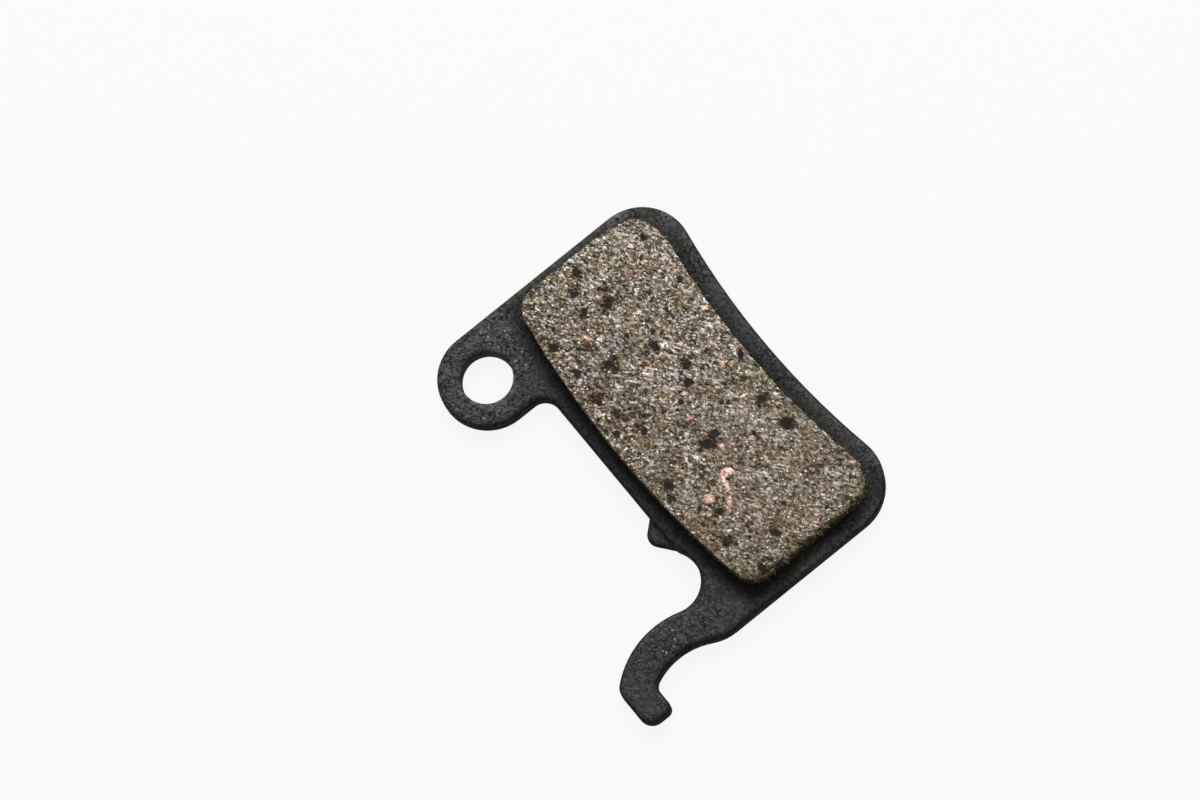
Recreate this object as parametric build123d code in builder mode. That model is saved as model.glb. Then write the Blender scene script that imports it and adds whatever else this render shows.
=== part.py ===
import os
from math import radians, sqrt, tan

from build123d import *

# Bicycle disc brake pad: a stamped steel backing plate with a moulded block of friction compound on its face.
# The origin is the axis of the pin hole at the back face of the plate. X runs along the plate from the pin lug
# to the hook, Y runs in towards the wheel's axle, and Z comes out of the friction face. Millimetres.

# Brake disc, whose rim the long edges of the block and the hub side of the plate follow
disc_radius = 80.0

# Friction block
block_thickness = 2.2
block_width = 12.6
block_hub_corner_radius = 2.4
block_rim_corner_radius = 2.0
block_edge_wear = 0.15

# Bare rim of the plate around the block: at its two ends, on the hub side and on the rim side of the disc
end_margin = 1.22
hub_margin = 1.7
lower_margin = 1.05

# Backing plate
plate_thickness = 1.8
plate_length = 31.4
plate_corner_radius = 4.05
front_edge_roll = 0.4
back_edge_break = 0.2

# Pin lug, whose outer side runs straight up into the end of the plate
pin_hole_radius = 2.05
pin_hole_roll = 0.3
lug_radius = 3.85
lug_root_radius = 1.3
pin_to_lower_edge = 2.8

# Hook, set in from the other end of the plate, with its waist below the level of the pin hole
hook_inset = 1.2
hook_width = 2.9
hook_waist_drop = 2.25
hook_inner_radius = 5.6
hook_outer_radius = 7.3
hook_shoulder_radius = 4.0

# Foot of the hook, which points out past the end of the plate
foot_drop = 7.48
foot_thickness = 2.45
foot_reach = 1.78
foot_heel_radius = 1.2
foot_toe_radius = 1.1
foot_top_radius = 0.6
foot_crotch_radius = 0.9

# Round throat cut between the hook and the lower edge of the plate
throat_radius = 2.55
throat_rise = 0.47
throat_lip_radius = 1.0

# Tab on the lower edge, pressed back behind the front face
tab_to_throat = 3.55
tab_drop = 1.48
tab_tip_radius = 0.9
tab_lug_side_slope = 48.0
tab_hook_side_slope = 38.0
tab_thickness = 1.0
tab_edge_roll = 0.45
tab_root = 1.0

# Ends and middle of the plate
lug_end = -lug_radius
hook_end = lug_end + plate_length
middle = (lug_end + hook_end) / 2

# Arcs about the axle of the disc
block_lower_y = pin_to_lower_edge + lower_margin
axle_y = block_lower_y + disc_radius
block_hub_radius = disc_radius - block_width
plate_hub_radius = block_hub_radius - hub_margin


def height_on_arc(radius, x):
    """Height at x of an arc of this radius about the axle."""
    return axle_y - sqrt(radius**2 - (x - middle) ** 2)


def touching_point(centre, radius, other_centre, other_radius):
    """Point where two circles that touch from outside meet."""
    return centre + (other_centre - centre) * (radius / (radius + other_radius))


# Hook curves: the inner one and the shoulder touch, and so do the outer one and the throat
waist_y = -hook_waist_drop
inner_side = hook_end - hook_inset
outer_side = inner_side - hook_width
inner_centre = Vector(inner_side + hook_inner_radius, waist_y)
outer_centre = Vector(outer_side + hook_outer_radius, waist_y)

shoulder_x = hook_end - hook_shoulder_radius
shoulder_span = hook_inner_radius + hook_shoulder_radius
shoulder_y = waist_y + sqrt(shoulder_span**2 - (inner_centre.X - shoulder_x) ** 2)
shoulder_centre = Vector(shoulder_x, shoulder_y)

throat_y = pin_to_lower_edge + throat_rise - throat_radius
throat_span = hook_outer_radius + throat_radius
throat_x = outer_centre.X - sqrt(throat_span**2 - (throat_y - waist_y) ** 2)
throat_centre = Vector(throat_x, throat_y)

shoulder_to_hook = touching_point(shoulder_centre, hook_shoulder_radius, inner_centre, hook_inner_radius)
throat_to_hook = touching_point(throat_centre, throat_radius, outer_centre, hook_outer_radius)

# Corners of the plate before they are rounded
hub_corner_y = height_on_arc(plate_hub_radius, hook_end)
throat_lip_x = throat_x - sqrt(throat_radius**2 - (pin_to_lower_edge - throat_y) ** 2)
foot_bottom_y = -foot_drop
foot_top_y = foot_bottom_y + foot_thickness
toe_x = hook_end + foot_reach
heel_x = outer_centre.X - sqrt(hook_outer_radius**2 - (foot_bottom_y - waist_y) ** 2)
crotch_x = inner_centre.X - sqrt(hook_inner_radius**2 - (foot_top_y - waist_y) ** 2)

with BuildPart() as backing_plate:
    with BuildSketch() as plate_outline:
        with BuildLine():
            Line((lug_end, hub_corner_y), (lug_end, 0))
            ThreePointArc((lug_end, 0), (0, -lug_radius), (lug_radius, 0))
            Polyline((lug_radius, 0), (lug_radius, pin_to_lower_edge), (throat_lip_x, pin_to_lower_edge))
            ThreePointArc((throat_lip_x, pin_to_lower_edge), throat_centre + (0, throat_radius), throat_to_hook)
            ThreePointArc(throat_to_hook, (outer_side, waist_y), (heel_x, foot_bottom_y))
            Polyline((heel_x, foot_bottom_y), (toe_x, foot_bottom_y), (toe_x, foot_top_y), (crotch_x, foot_top_y))
            ThreePointArc((crotch_x, foot_top_y), (inner_side, waist_y), shoulder_to_hook)
            TangentArc((hook_end, shoulder_y), shoulder_to_hook, tangent=(0, -1))
            Line((hook_end, shoulder_y), (hook_end, hub_corner_y))
            ThreePointArc(
                (hook_end, hub_corner_y),
                (middle, axle_y - plate_hub_radius),
                (lug_end, hub_corner_y),
            )
        make_face()
        roundings = [
            (lug_end, hub_corner_y, plate_corner_radius),
            (hook_end, hub_corner_y, plate_corner_radius),
            (lug_radius, pin_to_lower_edge, lug_root_radius),
            (throat_lip_x, pin_to_lower_edge, throat_lip_radius),
            (heel_x, foot_bottom_y, foot_heel_radius),
            (toe_x, foot_bottom_y, foot_toe_radius),
            (toe_x, foot_top_y, foot_top_radius),
            (crotch_x, foot_top_y, foot_crotch_radius),
        ]
        for corner_x, corner_y, radius in roundings:
            fillet(plate_outline.vertices().sort_by_distance((corner_x, corner_y))[0], radius)
    extrude(amount=plate_thickness)
    fillet(backing_plate.faces().sort_by(Axis.Z)[-1].edges(), front_edge_roll)

    # The tab reaches into the plate by its root, so that the two are one piece
    tab_x = throat_x - tab_to_throat
    tab_tip_y = pin_to_lower_edge - tab_drop
    tab_lug_side = tab_x - tab_drop / tan(radians(tab_lug_side_slope))
    tab_hook_side = tab_x + tab_drop / tan(radians(tab_hook_side_slope))
    with BuildSketch() as tab_outline:
        with BuildLine():
            Polyline(
                (tab_lug_side, pin_to_lower_edge),
                (tab_x, tab_tip_y),
                (tab_hook_side, pin_to_lower_edge),
                (tab_hook_side, pin_to_lower_edge + tab_root),
                (tab_lug_side, pin_to_lower_edge + tab_root),
                close=True,
            )
        make_face()
        fillet(tab_outline.vertices().sort_by(Axis.Y)[0], tab_tip_radius)
    extrude(amount=tab_thickness)
    tab_front = backing_plate.edges().filter_by_position(Axis.Z, tab_thickness, tab_thickness)
    fillet(tab_front.sort_by(Axis.Y)[:3], tab_edge_roll)
    fillet(backing_plate.faces().sort_by(Axis.Z)[0].edges(), back_edge_break)

    Hole(radius=pin_hole_radius)
    front_face = backing_plate.faces().sort_by(Axis.Z)[-1]
    fillet(front_face.inner_wires()[0].edges(), pin_hole_roll)

backing_plate.part.label = "backing_plate"

with BuildPart() as friction_block:
    block_lug_end = lug_end + end_margin
    block_hook_end = hook_end - end_margin
    block_hub_corner_y = height_on_arc(block_hub_radius, block_hook_end)
    block_rim_corner_y = height_on_arc(disc_radius, block_hook_end)
    with BuildSketch(Plane.XY.offset(plate_thickness)) as block_outline:
        with BuildLine():
            Line((block_lug_end, block_hub_corner_y), (block_lug_end, block_rim_corner_y))
            ThreePointArc(
                (block_lug_end, block_rim_corner_y),
                (middle, block_lower_y),
                (block_hook_end, block_rim_corner_y),
            )
            Line((block_hook_end, block_rim_corner_y), (block_hook_end, block_hub_corner_y))
            ThreePointArc(
                (block_hook_end, block_hub_corner_y),
                (middle, block_lower_y + block_width),
                (block_lug_end, block_hub_corner_y),
            )
        make_face()
        fillet(block_outline.vertices().group_by(Axis.Y)[0], block_rim_corner_radius)
        fillet(block_outline.vertices().group_by(Axis.Y)[-1], block_hub_corner_radius)
    extrude(amount=block_thickness)
    fillet(friction_block.faces().sort_by(Axis.Z)[-1].edges(), block_edge_wear)

friction_block.part.label = "friction_block"

os.makedirs("parts", exist_ok=True)
export_step(backing_plate.part, "parts/backing_plate.step")
export_step(friction_block.part, "parts/friction_block.step")
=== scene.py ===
from math import cos, pi, radians, sin
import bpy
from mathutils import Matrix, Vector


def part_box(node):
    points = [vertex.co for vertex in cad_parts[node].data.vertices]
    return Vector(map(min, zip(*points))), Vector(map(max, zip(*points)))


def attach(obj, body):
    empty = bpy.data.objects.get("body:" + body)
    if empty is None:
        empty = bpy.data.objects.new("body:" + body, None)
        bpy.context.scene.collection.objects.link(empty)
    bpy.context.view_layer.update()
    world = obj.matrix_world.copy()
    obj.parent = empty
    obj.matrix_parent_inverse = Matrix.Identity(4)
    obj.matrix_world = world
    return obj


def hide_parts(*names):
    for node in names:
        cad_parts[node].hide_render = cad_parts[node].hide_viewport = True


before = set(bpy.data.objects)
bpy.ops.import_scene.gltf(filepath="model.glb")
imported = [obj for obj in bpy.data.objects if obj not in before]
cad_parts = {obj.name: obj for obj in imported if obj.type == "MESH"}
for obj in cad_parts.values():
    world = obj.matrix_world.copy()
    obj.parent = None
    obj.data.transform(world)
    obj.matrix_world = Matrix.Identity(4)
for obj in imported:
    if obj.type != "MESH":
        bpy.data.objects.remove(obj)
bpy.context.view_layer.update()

from types import SimpleNamespace

import bpy
import numpy as np
from mathutils import Matrix, Vector

# A bicycle disc brake pad. The backing plate keeps its CAD shape and gets a powder coat. The friction
# block is replaced by a block of the same outline, whose face is made of grains, pits, dark chunks and
# sanding marks. Lengths are in millimetres until a mesh is made, which is in metres.

MM = 0.001

# The friction block stands on the plate's face, and its long sides are arcs about the disc's axle
block_low, block_high = (np.array(corner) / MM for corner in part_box("friction_block"))
plate_face_z = block_low[2]
block_face_z = block_high[2]
disc_radius = 80.0
block_width = 12.6

# Mesh of the block: spacing of the points of its face, rows of points down its walls, depth under the
# face from which the grains are measured, and the height of wall that the walls' noise runs over
grid_step = 0.07
wall_rows = 14
grain_zero = 0.045
wall_height = 2.1

# Grains are drawn out in one direction in the face, and sanding marks run in another
grain_turn = radians(13)
sanding_turn = radians(36)
fine_grain = 0.16
coarse_grain = 0.40

# The block is worn at the hook's end, from the first x on. Its edge is fully torn at the second and
# fully worn down at the third.
worn_from = 22.5
torn_to = 25.5
worn_to = 26.0

# The corner at the lug's end of the hub side has lost this much of its edge within the first distance
# from it, and nothing beyond the second
corner_lost = 0.35
corner_core = 2.0
corner_reach = 3.9

# Fibres that stand out of the block's edges: bent rods with a few rings of points
fibre_count = 760
fibre_rings = 4
fibre_corners = 3

# Sides of the tables of random values, and the place in them that the face starts at
noise_table = 256
grain_table = 512
grain_start = 60
sanding_start = 50

# Random marks lie within these corners of the face
scatter_low = (-2.5, 3.9)
scatter_high = (26.2, 17.2)

# The wall of the pin hole and its rolled edge lie within this distance of its axis. How level a face of
# the plate is runs from 0, upright, to 1, flat: below these it has the coat of the hole or of an edge,
# whose colours carry painted shade and light.
bore_reach = 2.4
bore_level = 0.97
edge_level = 0.75

# Places on the plate, each as x, y and radius: where the coat is roughest, and where pale specks of
# dust and painted glints lie
rough_spots = [
    (-1.0, 0.0, 6.0), (-2.0, 5.5, 4.0), (24.0, -1.5, 5.0), (3.0, 17.8, 3.5), (13.5, 17.3, 3.5),
    (26.0, 16.5, 5.0), (-2.2, 17.2, 3.0),
]
dust_and_glint_spots = [(-1.0, 3.4, 2.0), (0.4, 2.6, 1.6), (-2.4, 3.0, 1.8), (2.8, -1.7, 1.4), (24.9, -2.2, 1.8)]

# Spots of painted shade and light on the coat, each as x, y, radius and how many times as pale it is:
# painted shade of the block beside the lug, darker at the hook and its foot, painted light on the rim
# at the hook's end, and a painted sheen on the top corner at the lug's end
painted_shade_and_light_spots = [
    (5.2, 2.2, 4.0, 0.7), (26.5, -5.0, 6.0, 0.78), (27.2, 14.0, 8.0, 2.6), (-2.5, 17.0, 3.2, 3.4),
]

# Marks in the face that stand out, each as middle x, middle y, length, width and turn in degrees
dark_chunks = [
    (7.0, 11.3, 0.9, 0.7, 20), (10.9, 11.5, 0.8, 0.7, 70), (10.5, 4.8, 0.6, 0.5, 0),
    (11.7, 6.5, 0.6, 0.5, 130), (11.7, 10.1, 0.5, 0.5, 0), (11.7, 15.9, 0.9, 0.5, 150),
    (15.5, 14.9, 0.7, 0.6, 90), (18.1, 15.2, 0.9, 0.7, 10), (15.3, 10.4, 0.9, 0.7, 60),
    (15.6, 9.6, 0.7, 0.5, 20), (24.2, 9.2, 1.0, 0.5, 25), (25.7, 6.7, 0.8, 0.5, 0),
    (4.9, 5.4, 0.7, 0.6, 160), (2.1, 5.2, 0.8, 0.7, 60), (-0.3, 16.0, 0.6, 0.5, 0),
    (4.1, 16.1, 0.5, 0.5, 0), (17.1, 4.8, 0.6, 0.5, 30), (20.2, 7.0, 0.6, 0.5, 80),
    (9.8, 12.2, 0.6, 0.5, 100), (2.2, 10.5, 0.6, 0.5, 110), (-1.4, 10.3, 0.6, 0.5, 60),
    (-0.2, 9.1, 0.6, 0.5, 20), (1.5, 8.7, 0.5, 0.4, 90), (22.4, 5.8, 0.7, 0.5, 120),
    (16.2, 5.3, 0.7, 0.6, 20), (5.8, 7.7, 0.6, 0.5, 40),
]
brown_lumps = [
    (2.1, 10.5, 1.5, 1.1, 110), (-0.3, 9.3, 1.0, 0.9, 0), (1.0, 11.1, 1.1, 0.8, 60),
    (6.0, 7.8, 1.5, 1.2, 40), (7.3, 5.3, 1.3, 0.9, 30), (9.6, 5.9, 1.5, 0.8, 20),
    (11.3, 6.5, 1.0, 0.7, 0), (16.2, 5.3, 1.2, 0.8, 20), (22.6, 6.1, 1.0, 0.8, 30),
    (20.2, 6.9, 1.0, 0.8, 80), (15.5, 9.6, 1.5, 1.2, 60), (9.7, 12.2, 1.1, 0.8, 100),
    (19.4, 11.3, 0.9, 0.7, 40), (1.6, 8.7, 0.8, 0.7, 0), (25.8, 6.8, 1.2, 0.9, 0),
    (15.6, 14.9, 1.2, 1.0, 90), (-1.5, 10.3, 0.8, 0.7, 0), (18.1, 15.2, 1.3, 1.0, 10),
]
copper_shavings = [
    (3.2, 7.7, 0.9, 0.4, 27), (7.3, 9.6, 0.5, 0.3, 80), (8.2, 12.9, 0.5, 0.3, 110),
    (10.1, 9.0, 0.6, 0.3, 70), (11.4, 10.7, 0.5, 0.4, 50), (13.2, 9.8, 0.7, 0.3, 90),
    (14.0, 8.8, 0.5, 0.4, 130), (11.4, 14.4, 0.7, 0.4, 0), (14.4, 14.0, 0.8, 0.25, 80),
    (17.4, 12.5, 0.5, 0.4, 50), (16.3, 10.3, 0.5, 0.3, 50), (19.0, 7.0, 1.0, 0.85, 50),
    (21.9, 6.6, 0.5, 0.3, 120), (20.0, 6.2, 0.5, 0.3, 70), (-0.3, 14.8, 0.5, 0.3, 20),
    (25.6, 12.2, 0.4, 0.3, 90), (7.1, 16.1, 0.8, 0.5, 60), (24.3, 13.8, 0.4, 0.3, 20),
]
silver_flakes = [
    (7.4, 11.9, 0.8, 0.6, 50), (8.2, 12.1, 0.5, 0.3, 50), (3.9, 8.4, 0.5, 0.4, 40),
    (9.4, 7.3, 0.6, 0.15, 45), (13.2, 15.5, 0.5, 0.4, 50), (15.9, 8.2, 0.5, 0.4, 60),
    (22.2, 10.9, 0.4, 0.25, 50), (6.7, 16.5, 0.8, 0.3, 20),
]

# Two long copper shavings, from end to end, each point as x, y and width
curled_shavings = [
    [(18.35, 9.6, 0.6), (18.15, 9.3, 0.8), (18.3, 8.95, 0.7), (18.85, 8.75, 0.55), (19.35, 8.6, 0.25)],
    [(19.95, 8.2, 0.35), (20.2, 8.0, 0.5), (20.7, 7.55, 0.4)],
]

# Colours of the coat
black = (0, 0, 0, 1)
coat_white = (1.0, 0.955, 0.925, 1)
dust_and_glint_grey = (0.30, 0.295, 0.285, 1)

# Colours of the compound, each ramp from dark to pale
brown_stops = [
    (0.0, (0.028, 0.018, 0.009)),
    (0.3, (0.105, 0.077, 0.047)),
    (0.55, (0.227, 0.180, 0.129)),
    (0.8, (0.42, 0.36, 0.288)),
    (1.0, (0.76, 0.69, 0.60)),
]
fibre_stops = [(0.35, (0.06, 0.048, 0.019)), (0.52, (0.21, 0.172, 0.075)), (0.66, (0.42, 0.36, 0.20))]
edge_dark = (0.02, 0.014, 0.007, 1)
edge_olive = (0.34, 0.275, 0.15, 1)
copper_dark = (0.32, 0.16, 0.11, 1)
copper_pale = (0.98, 0.71, 0.58, 1)
# Near-white of bare metal, partly a painted glint
metal_and_glint_white = (0.92, 0.885, 0.84, 1)
chunk_black = (0.019, 0.016, 0.015, 1)

# Camera: a long lens that leans off the pad's normal, with the picture turned about the line of sight
camera_aim = Vector((6.592, 5.7235, 0.0))
camera_distance = 460.78
camera_lean = radians(15)
camera_lean_way = radians(-15.287)
camera_roll = radians(66)
lens_length = 180.0
sensor_width = 36.0
nearest_seen = 10.0

# Light: a square lamp on the lug's side that faces a point of the pad, and a weaker light from all round
key_way = Vector((-0.5132, 0.4308, 0.743))
key_aim = Vector((11.8, 8.0, 2.0))
key_distance = 500.0
key_size = 450.0
key_power = 3.15
studio_strength = 0.30

# Floor: half its side, and a hair's gap under the pad, so that the two don't share a plane
floor_reach = 600.0
floor_gap = 0.02


def ease(share):
    """Share from 0 to 1 with a gentle start and end."""
    return share * share * (3 - 2 * share)


def fade(value, start, end):
    """Smooth step from 0 at start to 1 at end."""
    return ease(np.clip((value - start) / (end - start), 0, 1))


def turned(x, y, angle):
    """Distance of each point along a direction in the face and across it."""
    return x * cos(angle) + y * sin(angle), y * cos(angle) - x * sin(angle)


def smooth_noise(x, y, cell, seed):
    """Smooth noise from -1 to 1 at each point, with bumps about one cell across."""
    table = np.random.default_rng(seed).uniform(-1, 1, (noise_table, noise_table))
    column = np.floor(x / cell).astype(int)
    row = np.floor(y / cell).astype(int)
    across = ease(x / cell - column)
    along = ease(y / cell - row)
    left = column % noise_table
    right = (column + 1) % noise_table
    near = row % noise_table
    far = (row + 1) % noise_table
    near_value = table[near, left] * (1 - across) + table[near, right] * across
    far_value = table[far, left] * (1 - across) + table[far, right] * across
    return near_value * (1 - along) + far_value * along


def grains(x, y, size, seed):
    """Irregular grains about one size across. For each point: the number of its grain, the way to the
    point from the middle of the grain, and the distance to the seam with the next grain."""
    middles = np.random.default_rng(seed).uniform(0.05, 0.95, (grain_table, grain_table, 2))
    u = x / size
    v = y / size
    column = np.floor(u).astype(int)
    row = np.floor(v).astype(int)
    nearest = np.full(len(u), np.inf)
    second = np.full(len(u), np.inf)
    number = np.zeros(len(u), int)
    across = np.zeros(len(u))
    along = np.zeros(len(u))
    for down in (-1, 0, 1):
        for aside in (-1, 0, 1):
            i = (column + aside) % grain_table
            j = (row + down) % grain_table
            du = u - column - aside - middles[j, i, 0]
            dv = v - row - down - middles[j, i, 1]
            reach = np.hypot(du, dv)
            closer = reach < nearest
            second = np.where(closer, nearest, np.minimum(second, reach))
            number = np.where(closer, j * grain_table + i, number)
            across = np.where(closer, du, across)
            along = np.where(closer, dv, along)
            nearest = np.where(closer, reach, nearest)
    seam = (second - nearest) * size
    return SimpleNamespace(number=number, across=across * size, along=along * size, seam=seam)


def per_grain(grain, seed, low=0.0, high=1.0):
    """One random value for each grain, given to all its points."""
    return np.random.default_rng(seed).uniform(low, high, grain_table * grain_table)[grain.number]


def block_outline():
    """Outline of the friction block's foot, in order round the block, from its CAD node."""
    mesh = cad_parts["friction_block"].data
    points = np.empty(len(mesh.vertices) * 3, np.float32)
    mesh.vertices.foreach_get("co", points)
    points = points.reshape(-1, 3) / MM
    foot = points[points[:, 2] < points[:, 2].min() + 0.001, :2]
    foot = np.unique(foot.round(4), axis=0)
    middle = (foot.min(0) + foot.max(0)) / 2
    turn = np.arctan2(foot[:, 1] - middle[1], foot[:, 0] - middle[0])
    return foot[np.argsort(turn)]


def depth_inside(x, y, outline):
    """Distance of each point from the outline, positive inside, and the nearest point on the outline."""
    best = np.full(len(x), np.inf)
    nearest = np.zeros((len(x), 2))
    inside = np.zeros(len(x), bool)
    for a, b in zip(outline, np.roll(outline, -1, axis=0)):
        span = b - a
        share = np.clip(((x - a[0]) * span[0] + (y - a[1]) * span[1]) / (span @ span), 0, 1)
        px = a[0] + share * span[0]
        py = a[1] + share * span[1]
        reach = np.hypot(x - px, y - py)
        closer = reach < best
        best = np.where(closer, reach, best)
        nearest[closer, 0] = px[closer]
        nearest[closer, 1] = py[closer]
        if a[1] != b[1]:
            crosses = (a[1] > y) != (b[1] > y)
            inside ^= crosses & (x < a[0] + (y - a[1]) * span[0] / span[1])
    return np.where(inside, best, -best), nearest


def blots(x, y, marks, seed):
    """How far into the nearest of some six-sided lumps each point lies: 1 in the middle, 0 on the edge
    and less outside."""
    rng = np.random.default_rng(seed)
    most = np.full(len(x), -1.0)
    wander = 0.15 * smooth_noise(x, y, 0.2, seed + 1)
    for middle_x, middle_y, length, width, degrees in marks:
        near = np.flatnonzero(np.hypot(x - middle_x, y - middle_y) < length)
        along, across = turned(x[near] - middle_x, y[near] - middle_y, radians(degrees))
        along = along / (length / 2)
        across = across / (width / 2)
        reach = np.zeros(len(near))
        for side in range(6):
            way = 2 * pi * (side + rng.uniform(-0.35, 0.35)) / 6
            reach = np.maximum(reach, (along * cos(way) + across * sin(way)) / rng.uniform(0.9, 1.2))
        most[near] = np.maximum(most[near], 1 - reach - wander[near])
    return most


def strips(x, y, routes):
    """How far into the nearest of some curved strips each point lies: 1 on the middle, 0 on the edge."""
    most = np.full(len(x), -1.0)
    for route in routes:
        for start, end in zip(route, route[1:]):
            span = np.subtract(end, start)
            share = ((x - start[0]) * span[0] + (y - start[1]) * span[1]) / (span[0] ** 2 + span[1] ** 2)
            share = np.clip(share, 0, 1)
            reach = np.hypot(x - start[0] - share * span[0], y - start[1] - share * span[1])
            most = np.maximum(most, 1 - reach / ((start[2] + share * span[2]) / 2))
    return most


def scattered(count, low, high, slim, seed):
    """Random marks all over the face, with lengths from low to high and slim times as wide as long."""
    rng = np.random.default_rng(seed)
    marks = []
    for _ in range(count):
        length = low + (high - low) * rng.uniform() ** 2
        x = rng.uniform(scatter_low[0], scatter_high[0])
        y = rng.uniform(scatter_low[1], scatter_high[1])
        marks.append((x, y, length, length * slim, rng.uniform(0, 180)))
    return marks


def face_grains(x, y):
    """Fine and coarse grains of the face, drawn out a little along one direction."""
    along, across = turned(x, y, grain_turn)
    u = 0.8 * along + grain_start + 0.06 * smooth_noise(x, y, 0.3, 50)
    v = across + grain_start + 0.06 * smooth_noise(x, y, 0.3, 51)
    return grains(u, v, fine_grain, 1), grains(u, v, coarse_grain, 2)


def tilted(grain, tilt, low, high, seed):
    """Height of grains that each lean their own way, with their middles between low and high."""
    height = grain.across * per_grain(grain, seed, -tilt, tilt)
    height += grain.along * per_grain(grain, seed + 1, -tilt, tilt)
    return height + per_grain(grain, seed + 2, low, high)


def grain_relief(x, y, fine, coarse):
    """Height of the grains and of the seams sunk between them."""
    height = tilted(fine, 0.45, -0.035, 0.02, 3) + tilted(coarse, 0.15, -0.03, 0.015, 6)
    height -= 0.02 * (1 - fade(fine.seam, 0.0, 0.05)) + 0.03 * (1 - fade(coarse.seam, 0.0, 0.08))
    return height + 0.03 * smooth_noise(x, y, 1.6, 9) + 0.02 * smooth_noise(x, y, 0.16, 52)


def grain_tone(x, y, fine, coarse):
    """Tone of the grains, from 0, dark, to 1, pale: a little paler towards the hub side and the lug."""
    tone = 0.5 + 0.32 * (per_grain(fine, 12) - 0.5) + 0.08 * (per_grain(coarse, 13) - 0.5)
    tone += 0.07 * smooth_noise(x, y, 1.5, 14) + 0.05 * smooth_noise(x, y, 0.6, 54)
    return tone + 0.0045 * (y - 10) + 0.0014 * (x - 12) + 0.065 * fade(x, 9.0, 0.0)


def sanding(x, y):
    """How strong the sanding is at each point, in patches, and its marks from -1 to 1, a little wavy."""
    along, across = turned(x, y, sanding_turn)
    wavy = across + 0.08 * smooth_noise(x, y, 1.3, 53)
    marks = smooth_noise(along / 4 + sanding_start, wavy + sanding_start, 0.12, 11)
    strength = fade(smooth_noise(x, y, 2.6, 10), -0.1, 0.6) * (1 - 0.35 * fade(x, 17.0, 23.0))
    return strength, marks


def inlays(x, y):
    """Black chunks, silver flakes, copper shavings and the sunk rings around those, which carry painted
    shadow, from 0 to 1 at each point, and how far into a shaving the point lies."""
    chunks = blots(x, y, dark_chunks + scattered(60, 0.15, 0.45, 0.7, 18), 100)
    flakes = blots(x, y, silver_flakes + scattered(60, 0.12, 0.4, 0.4, 21), 120)
    shavings = blots(x, y, copper_shavings + scattered(5, 0.12, 0.3, 0.6, 20), 110)
    shavings = np.maximum(shavings, strips(x, y, curled_shavings))
    copper = fade(shavings, 0.0, 0.2)
    return SimpleNamespace(
        black=fade(chunks, -0.05, 0.12),
        silver=fade(flakes, 0.0, 0.3),
        copper=copper,
        ring=fade(shavings, -0.35, -0.05) * (1 - copper),
        into_shaving=shavings,
    )


def edge_wear(x, y, depth):
    """Height lost along the edge, how much of the edge's dull colour shows, and how worn that end is."""
    worn = fade(x, worn_from, worn_to)
    rounding = np.clip(1 - depth / (0.10 + 0.25 * worn), 0, 1)
    loss = (0.04 + 0.14 * worn) * rounding**2
    loss += (0.02 + 0.04 * worn) * rounding * smooth_noise(x, y, 0.22, 19)
    edge = fade(rounding, 0.05, 0.9) * (0.35 + 0.65 * worn)
    dull_band = 0.75 * worn * fade(depth + 0.3 * smooth_noise(x, y, 0.7, 56), 1.2, 0.1)
    return loss, np.maximum(edge, dull_band), worn


def face_of_block(x, y, depth):
    """Height above the grains' zero and the mixture of the compound at each point of the friction face."""
    fine, coarse = face_grains(x, y)
    strength, marks = sanding(x, y)
    height = grain_relief(x, y, fine, coarse) + 0.02 * strength * marks
    tone = grain_tone(x, y, fine, coarse) + 0.17 * strength * marks

    # Pits where grains have broken out, dull patches and brown lumps. The pits are also painted darker, as
    # painted shade.
    pit = fade(per_grain(coarse, 17), 0.92, 0.94) * fade(coarse.seam, 0.0, 0.08)
    pit = np.maximum(pit, fade(per_grain(fine, 16), 0.92, 0.94))
    dull = fade(blots(x, y, scattered(80, 0.4, 1.1, 0.7, 55), 130), -0.2, 0.7)
    lump = fade(blots(x, y, brown_lumps, 140), -0.3, 0.5)
    height -= 0.08 * pit + 0.02 * dull + 0.03 * lump
    tone -= 0.20 * pit + 0.13 * dull + 0.36 * lump

    # Chunks are sunk and smooth, flakes flush, and shavings stand proud
    inlaid = inlays(x, y)
    # Painted shadow: the rings round the shavings are darker
    tone -= 0.18 * inlaid.ring
    height = height * (1 - 0.7 * inlaid.black) - 0.05 * inlaid.black - 0.03 * inlaid.ring
    height = height * (1 - 0.6 * inlaid.silver) + 0.012 * inlaid.silver
    height = height * (1 - 0.8 * inlaid.copper) + 0.05 * inlaid.copper * fade(inlaid.into_shaving, 0.0, 0.8)
    metal = strength * fade(marks, 0.4, 0.8) * (1 - pit) * (1 - lump)
    metal = np.maximum(metal, inlaid.silver) * (1 - inlaid.black) * (1 - inlaid.copper)

    # The tops of the grains are sanded nearly flat before the edge wears
    flat_top = 0.012
    height = np.minimum(height, flat_top + 0.3 * (height - flat_top))
    loss, edge, worn = edge_wear(x, y, depth)
    mixture = {
        "tone": tone - 0.12 * edge * worn,
        "metal": metal * (1 - 0.7 * edge),
        "black": inlaid.black,
        "copper": inlaid.copper * (1 - inlaid.black),
        "edge": edge,
    }
    return height - loss, mixture


def corner_loss(x, y, outline):
    """How much of the edge has broken away around the corner at the lug's end of the hub side."""
    distance = np.hypot(x - outline[:, 0].min(), y - outline[:, 1].max())
    return corner_lost * fade(distance, corner_reach, corner_core)


def crumbled(x, y, outline):
    """How far the edge has crumbled inside the outline: least on the rim side, most at the hook's end."""
    crumble = 0.03 + 0.06 * smooth_noise(x, y, 0.55, 30) + 0.09 * smooth_noise(x, y, 0.2, 31)
    crumble *= 0.4 + 0.6 * fade(y, 5.0, 9.0)
    crumble += corner_loss(x, y, outline)
    ragged = 0.08 + 0.20 * smooth_noise(x, y, 0.8, 32) + 0.16 * smooth_noise(x, y, 0.35, 33)
    crumble += ragged * fade(x, worn_from, torn_to)
    return np.clip(crumble, 0.0, None)


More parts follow.
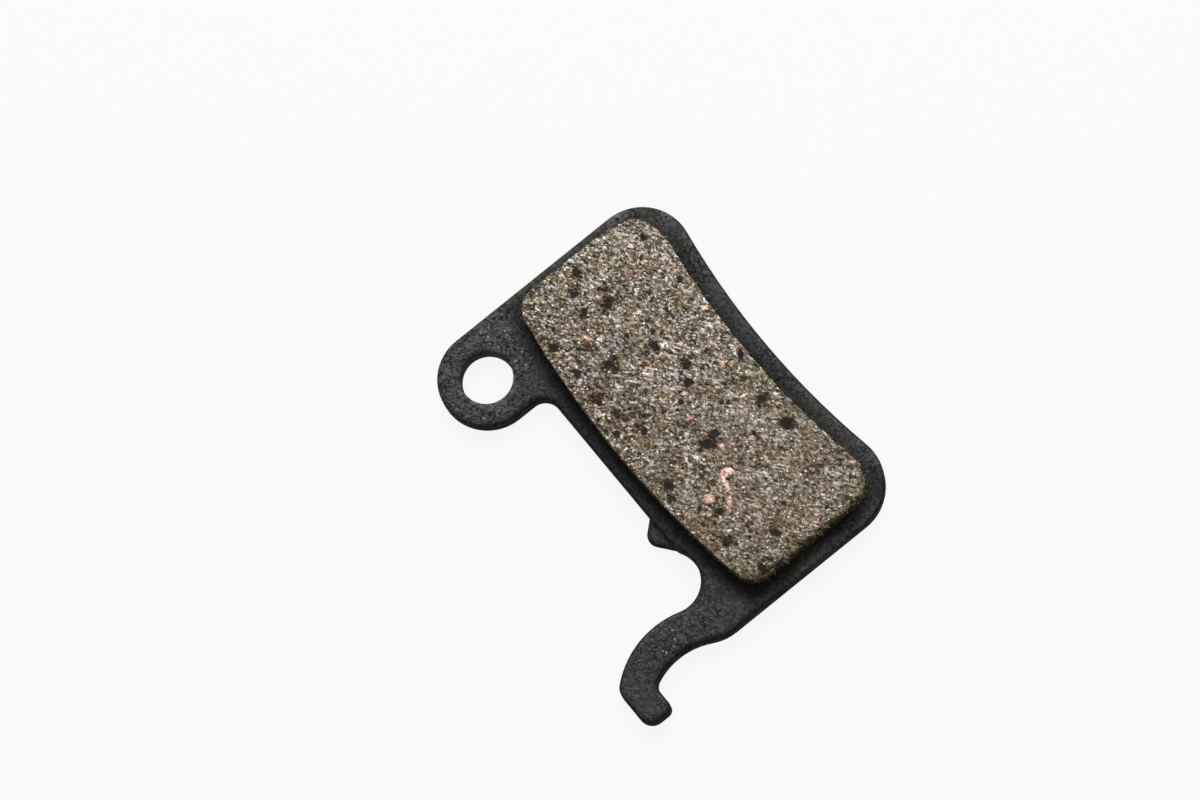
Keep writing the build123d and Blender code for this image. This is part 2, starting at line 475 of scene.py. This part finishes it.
def face_grid(outline):
    """Points of a grid that fills the crumbled outline, their depth inside it, and its squares."""
    low = outline.min(0) - grid_step
    high = outline.max(0) + grid_step
    columns = np.arange(low[0], high[0] + grid_step, grid_step)
    rows = np.arange(low[1], high[1] + grid_step, grid_step)
    grid_x, grid_y = np.meshgrid(columns, rows)
    x = grid_x.ravel()
    y = grid_y.ravel()
    plain_depth, nearest = depth_inside(x, y, outline)
    depth = plain_depth - crumbled(x, y, outline)

    # Squares with a corner inside are kept, and their outer corners move in onto the crumbled outline
    number = np.arange(len(x)).reshape(grid_x.shape)
    corners = [number[:-1, :-1], number[:-1, 1:], number[1:, 1:], number[1:, :-1]]
    square = np.stack(corners, -1).reshape(-1, 4)
    square = square[(depth[square] > 0).any(1)]
    used, square = np.unique(square, return_inverse=True)
    plain_depth = plain_depth[used]
    inward = np.stack([x, y], 1)[used] - nearest[used]
    inward *= (np.sign(plain_depth) / np.maximum(np.abs(plain_depth), 1e-6))[:, None]
    shift = np.maximum(-depth[used], 0)
    x = x[used] + inward[:, 0] * shift
    y = y[used] + inward[:, 1] * shift
    return x, y, np.maximum(depth[used], 0), square.reshape(-1, 4)


def rim_loop(square):
    """Numbers of the points on the rim of a sheet of squares, in order."""
    edges = np.concatenate([square[:, [0, 1]], square[:, [1, 2]], square[:, [2, 3]], square[:, [3, 0]]])
    pairs = set(map(tuple, edges.tolist()))
    following = {a: b for a, b in pairs if (b, a) not in pairs}
    start = min(following)
    loop = [start]
    while following[loop[-1]] != start:
        loop.append(following[loop[-1]])
    return np.array(loop)


def wall_mixture(way, level, share, torn):
    """Mixture of the compound along one row of the walls: pale under the rim, grained below, and painted
    dark there as painted shade.
    """
    grain = grains(way + 5, level + 5, 0.2, 42)
    # Painted shade: the walls go dark below the rim
    tone = 0.45 * (1 - share) ** 5 - 0.35 + 0.2 * per_grain(grain, 43)
    tone -= 0.1 * (1 - fade(grain.seam, 0, 0.05))
    tone += 0.3 * torn * smooth_noise(way, level, 0.35, 44)
    return {
        "tone": tone,
        "metal": np.zeros(len(way)),
        "black": fade(per_grain(grain, 45), 0.93, 0.95),
        "copper": np.zeros(len(way)),
        "edge": np.ones(len(way)),
    }


def walls(rim, outline):
    """Points and mixture of each row of the walls, from the rim of the face down to the plate."""
    foot = depth_inside(rim[:, 0], rim[:, 1], outline)[1]
    foot = sum(np.roll(foot, steps, axis=0) for steps in range(-3, 4)) / 7
    way = np.cumsum(np.hypot(*(rim - np.roll(rim, 1, axis=0))[:, :2].T))
    along = np.roll(foot, -4, axis=0) - np.roll(foot, 4, axis=0)
    along /= np.hypot(along[:, 0], along[:, 1])[:, None]
    inward = np.column_stack([-along[:, 1], along[:, 0]])
    torn = fade(rim[:, 0], worn_from, torn_to)
    for row in range(1, wall_rows + 1):
        share = row / wall_rows
        level = np.full(len(rim), share * wall_height)
        rough = 0.06 + 0.06 * smooth_noise(way, level, 0.5, 40) + 0.06 * smooth_noise(way, level, 0.22, 41)
        rough = np.clip(rough, 0.0, None) * (1 - 0.6 * share) * (1 + 1.5 * torn)
        flare = min(1, 3 * share)
        flat = rim[:, :2] * (1 - flare) + foot * flare + inward * rough[:, None]
        z = rim[:, 2] * (1 - share) + plate_face_z * share
        yield np.column_stack([flat, z]), wall_mixture(way, level, share, torn)


def mesh_object(name, points, faces, material):
    """New object from points in millimetres."""
    mesh = bpy.data.meshes.new(name)
    mesh.from_pydata((np.asarray(points) * MM).tolist(), [], faces)
    mesh.materials.append(material)
    mesh.validate()
    piece = bpy.data.objects.new(name, mesh)
    bpy.context.scene.collection.objects.link(piece)
    return piece


def build_block(material):
    """Friction block with a grained face, crumbled edges and rough walls, whose points carry a mixture."""
    outline = block_outline()
    x, y, depth, square = face_grid(outline)
    height, mixture = face_of_block(x, y, depth)
    z = np.minimum(block_face_z - grain_zero + height, block_face_z)
    points = [np.stack([x, y, z], 1)]
    mixtures = [mixture]
    faces = square.tolist()
    loop = rim_loop(square)
    above = loop
    for row_points, row_mixture in walls(points[0][loop], outline):
        below = sum(map(len, points)) + np.arange(len(loop))
        faces += np.stack([np.roll(above, -1), above, below, np.roll(below, -1)], 1).tolist()
        points.append(row_points)
        mixtures.append(row_mixture)
        above = below
    faces.append(above[::-1].tolist())

    block = mesh_object("friction_block_grained", np.concatenate(points), faces, material)
    block.data.polygons.foreach_set("use_smooth", np.ones(len(block.data.polygons), bool))
    for key in mixture:
        values = np.concatenate([part[key] for part in mixtures])
        layer = block.data.attributes.new(key, "FLOAT", "POINT")
        layer.data.foreach_set("value", values.astype(np.float32))
    return block


def fibre_points(root, along, outline, rng):
    """Rings of points along a thin bent fibre that leaves the block's edge near its root, then its tip."""
    outward = np.array([along[1], -along[0]])
    root = root - (0.12 + corner_loss(*root, outline)) * outward
    way = outward * rng.uniform(0.1, 0.8) + along * rng.uniform(-1.2, 1.2)
    way = np.array([*way, rng.uniform(-0.7, 0.1)])
    way /= np.linalg.norm(way)
    bend = rng.uniform(-0.3, 0.3, 3)
    length = 0.15 + 0.4 * rng.uniform() ** 3
    thickness = rng.uniform(0.015, 0.03)
    start = np.array([*root, block_face_z - rng.uniform(0.08, 0.35)])
    points = []
    for ring in range(fibre_rings):
        share = ring / fibre_rings
        middle = start + (way * share + bend * share**2) * length
        for corner in range(fibre_corners):
            turn = 2 * pi * corner / fibre_corners
            across = np.array([*along * cos(turn), sin(turn)])
            points.append(middle + across * thickness * (1 - 0.6 * share))
    points.append(start + (way + bend) * length)
    return points


def fibre_faces(first):
    """Faces of a fibre whose points start at this number."""
    faces = []
    for ring in range(fibre_rings):
        base = first + fibre_corners * ring
        for corner in range(fibre_corners):
            a = base + corner
            b = base + (corner + 1) % fibre_corners
            if ring < fibre_rings - 1:
                faces.append((a, b, b + fibre_corners, a + fibre_corners))
            else:
                faces.append((a, b, base + fibre_corners))
    return faces


def build_fibres(material):
    """Short fibres that stand out of the block's edges, most of them at the hook's end."""
    outline = block_outline()
    sides = np.roll(outline, -1, axis=0) - outline
    lengths = np.hypot(sides[:, 0], sides[:, 1])
    chance = lengths * (1 + 3 * fade(outline[:, 0], 20, 26))
    rng = np.random.default_rng(60)
    points = []
    faces = []
    for _ in range(fibre_count):
        side = rng.choice(len(outline), p=chance / chance.sum())
        root = outline[side] + rng.uniform() * sides[side]
        faces += fibre_faces(len(points))
        points += fibre_points(root, sides[side] / lengths[side], outline, rng)
    points = np.array(points)
    points[:, 2] = np.clip(points[:, 2], plate_face_z + 0.05, block_face_z)
    return mesh_object("edge_fibres", points, faces, material)


def set_inputs(tree, node, inputs):
    """Each input of a node set to a value or linked to a socket."""
    for key, value in inputs.items():
        if isinstance(value, bpy.types.NodeSocket):
            tree.links.new(value, node.inputs[key])
        else:
            node.inputs[key].default_value = value


def add(tree, kind, inputs=None, **settings):
    """New node with its settings and inputs."""
    node = tree.nodes.new(kind)
    for key, value in settings.items():
        setattr(node, key, value)
    set_inputs(tree, node, inputs or {})
    return node


def reckon(tree, operation, first, second=0.0):
    """Output of a Math node."""
    return add(tree, "ShaderNodeMath", {0: first, 1: second}, operation=operation).outputs[0]


def product(tree, first, *others):
    """Product of some values."""
    for other in others:
        first = reckon(tree, "MULTIPLY", first, other)
    return first


def greatest(tree, first, *others):
    """Greatest of some values."""
    for other in others:
        first = reckon(tree, "MAXIMUM", first, other)
    return first


def rest_of(tree, share):
    """What is left of 1 beside a share."""
    return reckon(tree, "SUBTRACT", 1.0, share)


def about_middle(tree, value, size):
    """Value from 0 to 1 taken to a range of this size about 0."""
    return product(tree, reckon(tree, "SUBTRACT", value, 0.5), size)


def remap(tree, value, start, end, low=0.0, high=1.0):
    """Value taken smoothly from start and end to low and high."""
    inputs = {"Value": value, "From Min": start, "From Max": end, "To Min": low, "To Max": high}
    return add(tree, "ShaderNodeMapRange", inputs, interpolation_type="SMOOTHSTEP").outputs["Result"]


def mix(tree, share, first, second):
    """Mixed colour."""
    return add(tree, "ShaderNodeMix", {0: share, 6: first, 7: second}, data_type="RGBA").outputs[2]


def tinted(tree, colour, tint):
    """Colour times a tint."""
    inputs = {0: 1.0, 6: colour, 7: (*tint, 1)}
    return add(tree, "ShaderNodeMix", inputs, data_type="RGBA", blend_type="MULTIPLY").outputs[2]


def ramp(tree, value, stops):
    """Colour ramp through the stops, each a place and a colour."""
    node = add(tree, "ShaderNodeValToRGB", {"Fac": value})
    elements = node.color_ramp.elements
    while len(elements) < len(stops):
        elements.new(0.5)
    for element, (place, colour) in zip(elements, stops):
        element.position = place
        element.color = (*colour, 1)
    return node.outputs["Color"]


def reckon_vectors(tree, operation, first, second, output="Vector"):
    """Output of a Vector Math node with two vectors."""
    return add(tree, "ShaderNodeVectorMath", {0: first, 1: second}, operation=operation).outputs[output]


def scaled(tree, vector, scale):
    """Vector times a number."""
    inputs = {0: vector, "Scale": scale}
    return add(tree, "ShaderNodeVectorMath", inputs, operation="SCALE").outputs["Vector"]


def axis_of(tree, vector, axis):
    """One axis of a vector."""
    return add(tree, "ShaderNodeSeparateXYZ", {"Vector": vector}).outputs[axis]


def attribute(tree, name):
    """Value that the block's points carry under a name."""
    return add(tree, "ShaderNodeAttribute", attribute_name=name).outputs["Fac"]


def millimetres(tree):
    """Place on the object in millimetres."""
    return scaled(tree, add(tree, "ShaderNodeTexCoord").outputs["Object"], 1 / MM)


def noise(tree, place, scale, detail):
    """Noise with about this many bumps to the millimetre."""
    inputs = {"Vector": place, "Scale": scale, "Detail": detail}
    return add(tree, "ShaderNodeTexNoise", inputs).outputs["Fac"]


def warped(tree, place, scale, amount):
    """Place moved about by noise, by the amount at most."""
    inputs = {"Vector": place, "Scale": scale, "Detail": 1.0}
    colour = add(tree, "ShaderNodeTexNoise", inputs).outputs["Color"]
    return reckon_vectors(tree, "ADD", place, scaled(tree, colour, amount))


def drawn_out(tree, place, angle, share):
    """Place turned to a direction in the face and squeezed along it, so that patterns come out long."""
    inputs = {"Vector": place, "Angle": -angle}
    way = add(tree, "ShaderNodeVectorRotate", inputs, rotation_type="Z_AXIS").outputs["Vector"]
    return reckon_vectors(tree, "MULTIPLY", way, (share, 1, 1))


def cells(tree, place, scale):
    """Voronoi cells, about this many to the millimetre: distance from the middle of the cell, and three
    random values of the cell."""
    node = add(tree, "ShaderNodeTexVoronoi", {"Vector": place, "Scale": scale})
    values = add(tree, "ShaderNodeSeparateColor", {"Color": node.outputs["Color"]}).outputs
    return SimpleNamespace(
        distance=node.outputs["Distance"],
        red=values["Red"],
        green=values["Green"],
        blue=values["Blue"],
    )


def cell_seams(tree, place, scale):
    """1 on the seams between such cells and 0 inside them."""
    inputs = {"Vector": place, "Scale": scale}
    distance = add(tree, "ShaderNodeTexVoronoi", inputs, feature="DISTANCE_TO_EDGE").outputs["Distance"]
    return remap(tree, distance, 0.0, 0.16, 1.0, 0.0)


def bumped(tree, height, distance, strength=1.0):
    """Normal of a surface whose height of 1 is this many millimetres."""
    inputs = {"Height": height, "Distance": distance * MM, "Strength": strength}
    return add(tree, "ShaderNodeBump", inputs).outputs["Normal"]


def near_spots(tree, place, spots):
    """1 near any of some spots on the plate's face, each as x, y and radius, and 0 away from them."""
    most = 0.0
    for x, y, radius in spots:
        distance = reckon_vectors(tree, "DISTANCE", place, (x, y, plate_face_z), "Value")
        most = greatest(tree, most, remap(tree, distance, 0.5 * radius, radius, 1.0, 0.0))
    return most


def outside_block(tree, place):
    """Distance outside the friction block, whose long sides are arcs about the axle of the disc."""
    axle = ((block_low[0] + block_high[0]) / 2, block_low[1] + disc_radius, 0)
    flat = reckon_vectors(tree, "MULTIPLY", place, (1, 1, 0))
    radius = reckon_vectors(tree, "DISTANCE", flat, axle, "Value")
    x = axis_of(tree, place, "X")
    lug_end = reckon(tree, "SUBTRACT", block_low[0], x)
    hook_end = reckon(tree, "SUBTRACT", x, block_high[0])
    hub_side = reckon(tree, "SUBTRACT", disc_radius - block_width, radius)
    rim_side = reckon(tree, "SUBTRACT", radius, disc_radius)
    return greatest(tree, lug_end, hook_end, hub_side, rim_side)


def start_material(name):
    """New material with its node tree and its shader."""
    material = bpy.data.materials.new(name)
    material.use_nodes = True
    tree = material.node_tree
    return material, tree, tree.nodes["Principled BSDF"]


def coat_shade(tree, place):
    """How light the black coat is: palest at the lug, with painted shade of the block beside it, and
    painted shade and light in some spots.
    """
    across = reckon_vectors(tree, "DOT_PRODUCT", place, (0.62, 0.78, 0), "Value")
    shade = remap(tree, across, -6.0, 32.0, 0.047, 0.025)
    for x, y, radius, times in painted_shade_and_light_spots:
        inside = near_spots(tree, place, [(x, y, radius)])
        shade = product(tree, shade, remap(tree, inside, 0.0, 1.0, 1.0, times))
    # Painted shade of the block: darkest right beside it and gone 1.5 mm away
    return product(tree, shade, remap(tree, outside_block(tree, place), 0.0, 1.5, 0.3, 1.0))


def wrinkles(tree, place):
    """Wrinkles of the coat: the place they bend, their lumps from 0 to 1, how far each point is sunk in
    a curled line or a pit, and how deep they are there."""
    curled = warped(tree, place, 2.5, 0.42)
    to_line = reckon(tree, "ABSOLUTE", reckon(tree, "SUBTRACT", noise(tree, curled, 1.8, 1.0), 0.5))
    lines = remap(tree, to_line, 0.0, 0.04, 1.0, 0.0)
    cell = cells(tree, curled, 2.7)
    pits = product(tree, remap(tree, cell.distance, 0.12, 0.45, 1.0, 0.0), remap(tree, cell.red, 0.45, 0.6))
    deep = reckon(tree, "ADD", 0.6, product(tree, near_spots(tree, place, rough_spots), 0.6))
    deep = product(tree, deep, remap(tree, noise(tree, place, 0.6, 1.0), 0.35, 0.6, 0.6, 1.2))
    sunk = product(tree, greatest(tree, pits, product(tree, lines, 0.8)), deep)
    return SimpleNamespace(place=curled, lumps=noise(tree, curled, 3.8, 2.0), sunk=sunk, deep=deep)


def coat_colour(tree, shade, wrinkle):
    """Black of a shade, with painted light on the lumps of the wrinkles and painted shade where they are
    sunk.
    """
    shade = product(tree, shade, remap(tree, wrinkle.lumps, 0.3, 0.7, 0.4, 1.7))
    shade = product(tree, shade, rest_of(tree, product(tree, wrinkle.sunk, 0.8)))
    return mix(tree, shade, black, coat_white)


def dust_and_glints(tree, place, wrinkle):
    """Pale specks where they lie, from 0 to 1: dust that has caught, and painted glints of small bumps."""
    speck = cells(tree, wrinkle.place, 2.8)
    core = remap(tree, speck.distance, 0.14, 0.28, 1.0, 0.0)
    return product(tree, core, remap(tree, speck.green, 0.50, 0.58), near_spots(tree, place, dust_and_glint_spots))


def powder_coat():
    """Satin black coat with curled wrinkles, lumps and pits, most of them around the lug and the hook."""
    material, tree, shader = start_material("powder_coat")
    place = millimetres(tree)
    wrinkle = wrinkles(tree, place)
    relief = product(tree, wrinkle.lumps, wrinkle.deep)
    relief = reckon(tree, "SUBTRACT", relief, product(tree, wrinkle.sunk, 0.6))
    coat = coat_colour(tree, coat_shade(tree, place), wrinkle)
    satin = remap(tree, noise(tree, place, 4.0, 2.0), 0.3, 0.7, 0.38, 0.48)
    matt = remap(tree, outside_block(tree, place), 0.0, 1.6, 0.25, 0.0)
    set_inputs(tree, shader, {
        "Base Color": mix(tree, dust_and_glints(tree, place, wrinkle), coat, dust_and_glint_grey),
        "Roughness": reckon(tree, "ADD", satin, matt),
        "Specular IOR Level": 0.25,
        "Normal": bumped(tree, relief, 0.095),
    })
    return material


def bore_coat():
    """The coat in the pin hole, with painted light on the rolled edge and painted shade on the wall."""
    material, tree, shader = start_material("bore_coat")
    place = millimetres(tree)
    height = axis_of(tree, place, "Z")
    # Painted light on the rolled edge above, painted shade on the wall below
    shade = remap(tree, height, plate_face_z - 0.35, plate_face_z - 0.15, 0.008, 0.085)
    set_inputs(tree, shader, {
        "Base Color": coat_colour(tree, shade, wrinkles(tree, place)),
        "Roughness": remap(tree, noise(tree, place, 2.0, 3.0), 0.3, 0.7, 0.6, 0.8),
        "Specular IOR Level": 0.05,
    })
    return material


def edge_coat():
    """The same coat where it is matt, on the rolled and sheared edges, with painted shade, darkest on the
    upright ones.
    """
    material, tree, shader = start_material("edge_coat")
    place = millimetres(tree)
    wrinkle = wrinkles(tree, place)
    normal = add(tree, "ShaderNodeNewGeometry").outputs["Normal"]
    level = reckon(tree, "ABSOLUTE", axis_of(tree, normal, "Z"))
    # Painted shade: the more upright the face, the darker
    shade = product(tree, coat_shade(tree, place), remap(tree, level, 0.1, 0.55, 0.3, 0.9))
    relief = reckon(tree, "SUBTRACT", wrinkle.lumps, wrinkle.sunk)
    set_inputs(tree, shader, {
        "Base Color": coat_colour(tree, shade, wrinkle),
        "Roughness": remap(tree, noise(tree, place, 1.5, 3.0), 0.3, 0.7, 0.7, 0.9),
        "Specular IOR Level": 0.05,
        "Normal": bumped(tree, relief, 0.04),
    })
    return material


def fibre():
    """Olive fibre, darker in places."""
    material, tree, shader = start_material("fibre")
    set_inputs(tree, shader, {
        "Base Color": ramp(tree, noise(tree, millimetres(tree), 2.5, 2.0), fibre_stops),
        "Roughness": 0.7,
        "Specular IOR Level": 0.3,
    })
    return material


def compound_textures(tree, place):
    """Cells and noises that the compound is mixed from, most of them wavy and drawn out."""
    wavy = warped(tree, place, 1.2, 0.25)
    sanded = drawn_out(tree, wavy, sanding_turn, 0.2)
    shards = warped(tree, drawn_out(tree, wavy, grain_turn, 0.5), 6.0, 0.16)
    crumb = cells(tree, drawn_out(tree, wavy, sanding_turn, 0.7), 7.0)
    return SimpleNamespace(
        x=axis_of(tree, place, "X"),
        coarse=cells(tree, warped(tree, place, 7.0, 0.16), 4.0),
        fine=cells(tree, warped(tree, drawn_out(tree, wavy, grain_turn, 0.8), 8.0, 0.12), 7.0),
        shard=cells(tree, shards, 7.0),
        seam=cell_seams(tree, shards, 7.0),
        crumb=crumb,
        crumb_core=remap(tree, crumb.distance, 0.26, 0.40, 1.0, 0.0),
        sliver=cells(tree, sanded, 8.5),
        scratch=noise(tree, sanded, 8.5, 2.0),
        grit=noise(tree, place, 11.0, 3.0),
        hue=noise(tree, place, 0.7, 3.0),
        cast=noise(tree, place, 1.8, 2.0),
    )


def compound_tone(tree, texture):
    """Tone of the compound, from 0, dark, to 1, pale: the points' own and the textures' on top of it."""
    weights = [
        (texture.coarse.red, 0.08),
        (texture.fine.red, 0.62),
        (texture.shard.red, 0.32),
        (texture.grit, 0.82),
        (texture.scratch, 0.34),
    ]
    tone = reckon(tree, "ADD", attribute(tree, "tone"), 0.03)
    for value, weight in weights:
        tone = reckon(tree, "ADD", tone, about_middle(tree, value, weight))
    # Painted shade: small holes among the crumbs are darker
    hole = product(tree, texture.crumb_core, remap(tree, texture.crumb.green, 0.80, 0.83))
    tone = reckon(tree, "SUBTRACT", tone, product(tree, texture.seam, 0.13))
    tone = reckon(tree, "SUBTRACT", tone, product(tree, hole, 0.5))
    contrast = remap(tree, texture.x, 5.0, 22.0, 1.08, 0.82)
    return reckon(tree, "ADD", 0.5, about_middle(tree, tone, contrast))


def compound_brown(tree, tone, texture):
    """Brown-grey of the compound, with patches of other hues, and olive on its edges."""
    brown = ramp(tree, tone, brown_stops)
    patches = [
        (remap(tree, texture.hue, 0.48, 0.62, 0.0, 0.9), (0.95, 1.0, 1.10)),
        (remap(tree, texture.hue, 0.36, 0.50, 0.9, 0.0), (1.01, 0.99, 0.86)),
        (remap(tree, texture.coarse.green, 0.82, 0.95, 0.0, 0.5), (1.14, 0.93, 0.98)),
    ]
    casts = [
        (remap(tree, texture.cast, 0.50, 0.64, 0.0, 0.9), (0.95, 1.03, 0.97)),
        (remap(tree, texture.cast, 0.36, 0.50, 0.9, 0.0), (1.05, 0.96, 1.03)),
    ]
    colour = brown
    for share, tint in patches:
        colour = mix(tree, share, colour, tinted(tree, brown, tint))
    for share, tint in casts:
        colour = mix(tree, share, colour, tinted(tree, colour, tint))
    olive = mix(tree, tone, edge_dark, edge_olive)
    return mix(tree, product(tree, attribute(tree, "edge"), 0.7), colour, olive)


def metal_flecks_and_glints(tree, texture):
    """Where bare metal shows, its white partly a painted glint, from 0 to 1: specks, sanded marks, slivers
    and sparks, fewer on the edges.
    """
    pale_ground = remap(tree, attribute(tree, "tone"), 0.2, 0.45)
    speck = remap(tree, texture.coarse.distance, 0.26, 0.36, 1.0, 0.0)
    speck = product(tree, speck, remap(tree, texture.coarse.blue, 0.94, 0.97))
    sanded = product(tree, attribute(tree, "metal"), remap(tree, texture.fine.blue, 0.15, 0.6))
    sliver = remap(tree, texture.sliver.distance, 0.24, 0.34, 1.0, 0.0)
    sliver = product(tree, sliver, remap(tree, texture.sliver.red, 0.85, 0.90), pale_ground)
    sliver = product(tree, sliver, remap(tree, texture.hue, 0.38, 0.54, 0.3, 1.0))
    spark = product(tree, texture.crumb_core, remap(tree, texture.crumb.red, 0.88, 0.92), pale_ground)
    fleck = greatest(tree, speck, sanded, sliver, spark)
    free = rest_of(tree, greatest(tree, attribute(tree, "black"), attribute(tree, "copper")))
    inner = remap(tree, attribute(tree, "edge"), 0.6, 0.95, 1.0, 0.1)
    return product(tree, fleck, free, inner, remap(tree, texture.x, 5.0, 22.0, 0.97, 0.84))


def friction_compound():
    """Brown-grey compound: grains of several tones, scratches, metal flecks with painted glints, copper and
    black chunks.
    """
    material, tree, shader = start_material("friction_compound")
    texture = compound_textures(tree, millimetres(tree))
    tone = compound_tone(tree, texture)
    fleck = metal_flecks_and_glints(tree, texture)
    copper = attribute(tree, "copper")
    chunk = product(tree, attribute(tree, "black"), remap(tree, texture.fine.red, 0.0, 0.5, 0.6, 1.0))

    colour = mix(tree, fleck, compound_brown(tree, tone, texture), metal_and_glint_white)
    colour = mix(tree, copper, colour, mix(tree, remap(tree, tone, 0.1, 0.9), copper_dark, copper_pale))
    shine = greatest(tree, fleck, copper)
    height = reckon(tree, "ADD", texture.grit, texture.scratch)
    height = reckon(tree, "SUBTRACT", height, product(tree, texture.fine.distance, 0.6))
    set_inputs(tree, shader, {
        "Base Color": mix(tree, chunk, colour, chunk_black),
        "Metallic": product(tree, shine, 0.5),
        "Roughness": reckon(tree, "SUBTRACT", 0.85, product(tree, shine, 0.4)),
        "Specular IOR Level": 0.15,
        "Normal": bumped(tree, height, 0.05, 0.9),
    })
    return material


def pale_floor():
    """White floor that shows a light shadow of the pad."""
    material, tree, shader = start_material("pale_floor")
    set_inputs(tree, shader, {
        "Base Color": (0.5, 0.5, 0.5, 1),
        "Roughness": 0.9,
        "Specular IOR Level": 0.1,
    })
    white = add(tree, "ShaderNodeEmission", {"Color": (1, 1, 1, 1), "Strength": 1.0})
    ray = add(tree, "ShaderNodeLightPath").outputs
    seen = greatest(tree, ray["Is Camera Ray"], ray["Is Glossy Ray"], ray["Is Transmission Ray"])
    shares = {0: product(tree, seen, 0.9), 1: shader.outputs[0], 2: white.outputs[0]}
    blend = add(tree, "ShaderNodeMixShader", shares)
    set_inputs(tree, tree.nodes["Material Output"], {"Surface": blend.outputs[0]})
    return material


def build_floor():
    """Square floor just under the pad."""
    signs = [(-1, -1), (1, -1), (1, 1), (-1, 1)]
    corners = [(floor_reach * x, floor_reach * y, -floor_gap) for x, y in signs]
    floor = mesh_object("floor", corners, [(0, 1, 2, 3)], pale_floor())


def coat_plate():
    """The plate's three coats, whose colours carry painted shade and light: on its flat faces, on its edges
    and in the pin hole.
    """
    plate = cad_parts["backing_plate"].data
    plate.materials.clear()
    for material in (powder_coat(), edge_coat(), bore_coat()):
        plate.materials.append(material)
    for face in plate.polygons:
        level = abs(face.normal.z)
        in_bore = face.center.xy.length < bore_reach * MM
        if in_bore and level < bore_level:
            face.material_index = 2
        elif level < edge_level:
            face.material_index = 1


def set_camera():
    """Camera of the photo, which looks at its aim from a lean."""
    lens = bpy.data.cameras.new("camera")
    lens.sensor_fit = "HORIZONTAL"
    lens.sensor_width = sensor_width
    lens.lens = lens_length
    lens.clip_start = nearest_seen * MM
    camera = bpy.data.objects.new("camera", lens)
    lean = Matrix.Rotation(camera_lean_way, 4, "Z") @ Matrix.Rotation(camera_lean, 4, "Y")
    back = lean @ Vector((0, 0, 1))
    place = (camera_aim + back * camera_distance) * MM
    camera.matrix_world = Matrix.Translation(place) @ lean @ Matrix.Rotation(camera_roll, 4, "Z")
    bpy.context.scene.collection.objects.link(camera)
    bpy.context.scene.camera = camera


def add_key_light():
    """Square lamp that faces its aim."""
    lamp = bpy.data.lights.new("key", "AREA")
    lamp.size = key_size * MM
    lamp.energy = key_power
    holder = bpy.data.objects.new("key", lamp)
    way = key_way.normalized()
    holder.location = (key_aim + way * key_distance) * MM
    holder.rotation_euler = way.to_track_quat("Z", "Y").to_euler()
    bpy.context.scene.collection.objects.link(holder)


def light_studio():
    """Even white light from all round."""
    world = bpy.data.worlds.new("studio")
    world.use_nodes = True
    background = world.node_tree.nodes["Background"]
    set_inputs(world.node_tree, background, {"Color": (1, 1, 1, 1), "Strength": studio_strength})
    bpy.context.scene.world = world


set_camera()
build_floor()
coat_plate()

block = build_block(friction_compound())
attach(block, "root")
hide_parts("friction_block")
fibres = build_fibres(fibre())
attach(fibres, "root")

light_studio()
add_key_light()

bpy.context.scene.view_settings.view_transform = "Standard"
